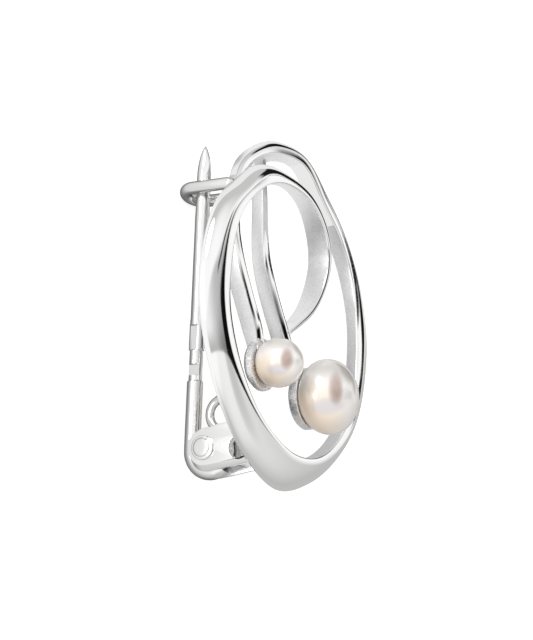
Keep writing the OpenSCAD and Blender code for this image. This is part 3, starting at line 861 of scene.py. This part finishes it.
def place_camera():
    """Looks at the brooch from where the photograph was taken."""
    flat = cosine(CAMERA_TILT)
    towards = Vector((-sine(CAMERA_TURN) * flat, -sine(CAMERA_TILT), cosine(CAMERA_TURN) * flat))
    right = Vector((cosine(CAMERA_TURN), 0, sine(CAMERA_TURN)))
    laid_turn = LAID.to_3x3().normalized()
    to_camera, to_right = laid_turn @ towards, laid_turn @ right
    looking = Matrix((to_right, to_camera.cross(to_right), to_camera)).transposed().to_4x4()
    camera = bpy.data.cameras.new("camera")
    camera.lens = camera.sensor_width * PHOTO_FOCAL / PHOTO_H
    camera.shift_x = (PHOTO_W / 2 - AIM_PX[0]) / PHOTO_H
    camera.shift_y = (AIM_PX[1] - PHOTO_H / 2) / PHOTO_H
    stand = bpy.data.objects.new("camera", camera)
    stand.matrix_world = Matrix.Translation(LAID @ AIM + to_camera * CAMERA_FAR / 1000) @ looking
    bpy.context.scene.collection.objects.link(stand)
    bpy.context.scene.camera = stand


# The paper's own glow to the camera, and the painted shadow that the silver sees on it under
# the pin, a soft dark oval: its place on the x axis and half its width and length, in metres
PAPER_GLOW = 0.66
PIN_SHADE_X, PIN_SHADE_W, PIN_SHADE_L = -0.0045, 0.0035, 0.016

WHITE = (1, 1, 1, 1)


def pale_paper():
    """White paper, plain to the camera. All else sees only a painted glow on it, bright far off at
    the left and at the right, with painted shade greyer close by and towards the front and the back."""
    paper, tree, lit, place = new_finish("pale_paper")
    feed(tree, lit, {
        "Base Color": (0.66, 0.63, 0.60, 1),
        "Roughness": 1.0,
        "Specular IOR Level": 0.0,
        "Emission Color": WHITE,
        "Emission Strength": PAPER_GLOW,
    })
    shades = Shades(tree, moved_vector(tree, "NORMALIZE", place))
    far = measured_vector(tree, "LENGTH", place)
    # painted glow with painted shade: greyer close by and towards the front and the back
    light = shades.ramp(shades.along(Y_AXIS), -0.2, 0.6, 0.52, 0.86)
    pale = shades.ramp(far, 0.008, 0.045, 0.78, 1.0)
    light = shades.towards(light, pale, shades.ramp(shades.along(way(178, 0)), 0.30, 0.75))
    light = shades.towards(light, pale, shades.between(18, 13, 7))
    # a painted dark band far off at the right
    edge = shades.product(shades.between(28, 18.5, 1.5), shades.ramp(far, 0.025, 0.036))
    light = shades.towards(light, 0.01, edge)
    # painted shadow: a soft dark oval under the pin
    from_pin = moved_vector(tree, "ADD", place, (-PIN_SHADE_X, 0, 0))
    across = moved_vector(tree, "MULTIPLY", from_pin, (1 / PIN_SHADE_W, 1 / PIN_SHADE_L, 0))
    painted_pin_shadow = measured_vector(tree, "LENGTH", across)
    light = shades.product(light, shades.ramp(painted_pin_shadow, 0.8, 1.7, 0.35, 1.0))
    seen = add(tree, "ShaderNodeEmission", {"Color": WHITE, "Strength": light})
    eye = add(tree, "ShaderNodeLightPath").outputs["Is Camera Ray"]
    both = add(tree, "ShaderNodeMixShader", {0: eye, 1: seen.outputs[0], 2: lit.outputs[0]})
    feed(tree, tree.nodes["Material Output"], {"Surface": both.outputs[0]})
    return paper


def lay_floor():
    """A floor of pale paper under the brooch, three metres a side."""
    bm = bmesh.new()
    bmesh.ops.create_grid(bm, x_segments=1, y_segments=1, size=1.5)
    mesh = bpy.data.meshes.new("floor")
    bm.to_mesh(mesh)
    bm.free()
    floor = bpy.data.objects.new("floor", mesh)
    bpy.context.scene.collection.objects.link(floor)
    mesh.materials.append(pale_paper())


# The upper edge of the front sheet and the edge of the white wall: the direction that each
# edge's plane is square to, and its distance from the middle of the tent of radius 1
EDGE_POLE, EDGE_AT = way(109.4, 5.7), -0.213
WALL_POLE, WALL_AT = way(105.9, -18.4), -0.17

# Soft lamps behind the tent's cloth: azimuth, height, the angles of their bright middle and
# of their edge, and how much they add
SOFT_LAMPS = [
    (137, 25, 7, 18, 5.0),
    (178, 11, 7, 18, 5.0),
]
# How much brighter the tent lights the paper and the pearls' bodies than the silver shows it
DIFFUSE_LIFT = 1.17


def cloth(tent):
    """The brightness of the tent's cloth."""
    up, beyond = tent.along(Z_AXIS), tent.along(EDGE_POLE)
    # the front sheet: brighter with height and towards the left
    light = tent.ramp(up, -0.30, 1.05, 0.46, 0.92)
    light = tent.towards(light, 0.45, tent.product(tent.spot(way(-48, 0), 8, 45), 0.5))
    light = tent.towards(light, 0.45, tent.product(tent.spot(way(-8, 50), 4, 22), 0.7))
    light = tent.towards(light, 1.0, tent.ramp(tent.along(way(-165, 25)), 0.60, 0.90))
    # the ceiling beyond its edge: grey over the gap, brighter towards the left
    ceiling = tent.ramp(tent.along(way(9, 35)), 0.99, -0.35, 0.50, 0.90)
    behind_edge = tent.ramp(tent.along(way(0, 45)), 1.12, 0.45, 0.18, 0.50)
    ceiling = tent.towards(ceiling, behind_edge, tent.ramp(beyond, EDGE_AT + 0.24, EDGE_AT + 0.03))
    over_edge = tent.ramp(beyond, EDGE_AT - 0.015, EDGE_AT + 0.015)
    light = tent.towards(light, ceiling, tent.product(over_edge, tent.ramp(up, 0.2, 0.35)))
    # the white wall behind, up to its own edge in the ceiling, greyer low down
    light = tent.towards(light, 1.0, tent.ramp(tent.along(WALL_POLE), WALL_AT - 0.05, WALL_AT + 0.07))
    light = tent.towards(light, 0.58, tent.product(tent.between(88, 58, 12), tent.ramp(up, 0.95, 0.35)))
    # the bright column at the right
    return tent.towards(light, 1.0, tent.product(tent.between(18, 13, 7), tent.ramp(up, 0.45, 0.25)))


def dark_gaps(tent, light):
    """The cloth's brightness with the dark gaps round the bright column at the right."""
    beyond = tent.along(EDGE_POLE)
    # the gap above the column, and a slit in it
    gap = tent.product(
        tent.ramp(beyond, EDGE_AT - 0.01, EDGE_AT + 0.01),
        tent.ramp(beyond, EDGE_AT + 0.20, EDGE_AT + 0.14),
        tent.heights(14, 20, 46, 54),
        tent.ramp(tent.along(X_AXIS), 0.3, 0.5),
    )
    light = tent.towards(light, 0.004, gap)
    slit = tent.product(tent.between(19.4, 2.0, 1.2), tent.heights(24, 32, 58, 66))
    light = tent.towards(light, 0.02, slit)
    # the slot and the thin sill right of the column
    slot = tent.product(tent.between(34, 11, 3), tent.heights(3, 6, 19, 24))
    light = tent.towards(light, 0.01, slot)
    low = tent.ramp(tent.along(Z_AXIS), sine(7), sine(5.5))
    light = tent.towards(light, 0.01, tent.product(tent.between(28, 18.5, 1.5), low))
    # the foot of the column: a low bar that ends in a thin post
    bar = tent.product(tent.between(15.2, 2.2, 0.6), tent.heights(4.2, 5.6, 8.2, 9.6))
    post = tent.product(tent.between(17.7, 0.7, 0.4), tent.heights(5.5, 7.0, 15.5, 17.0))
    return tent.towards(light, 0.01, tent.number("MAXIMUM", bar, post))


def light_tent():
    """A white light tent with grey parts and dark gaps, and plain white to the camera."""
    world = bpy.data.worlds.new("light_tent")
    world.use_nodes = True
    bpy.context.scene.world = world
    tree = world.node_tree
    tent = Shades(tree, add(tree, "ShaderNodeTexCoord").outputs["Generated"])
    light = dark_gaps(tent, cloth(tent))
    for azimuth, height, inner, outer, glow in SOFT_LAMPS:
        light = tent.number("MULTIPLY_ADD", tent.spot(way(azimuth, height), inner, outer), glow, light)
    path = add(tree, "ShaderNodeLightPath")
    lift = ramp(tree, path.outputs["Is Diffuse Ray"], 0.0, 1.0, 1.0, DIFFUSE_LIFT)
    shaded = tree.nodes["Background"]
    feed(tree, shaded, {"Color": WHITE, "Strength": tent.product(light, lift)})
    plain = add(tree, "ShaderNodeBackground", {"Color": WHITE, "Strength": 1.0})
    eye = path.outputs["Is Camera Ray"]
    both = add(tree, "ShaderNodeMixShader", {0: eye, 1: shaded.outputs[0], 2: plain.outputs[0]})
    feed(tree, tree.nodes["World Output"], {"Surface": both.outputs[0]})


place_camera()
lay_floor()
light_tent()

bpy.context.scene.view_settings.view_transform = "Standard"
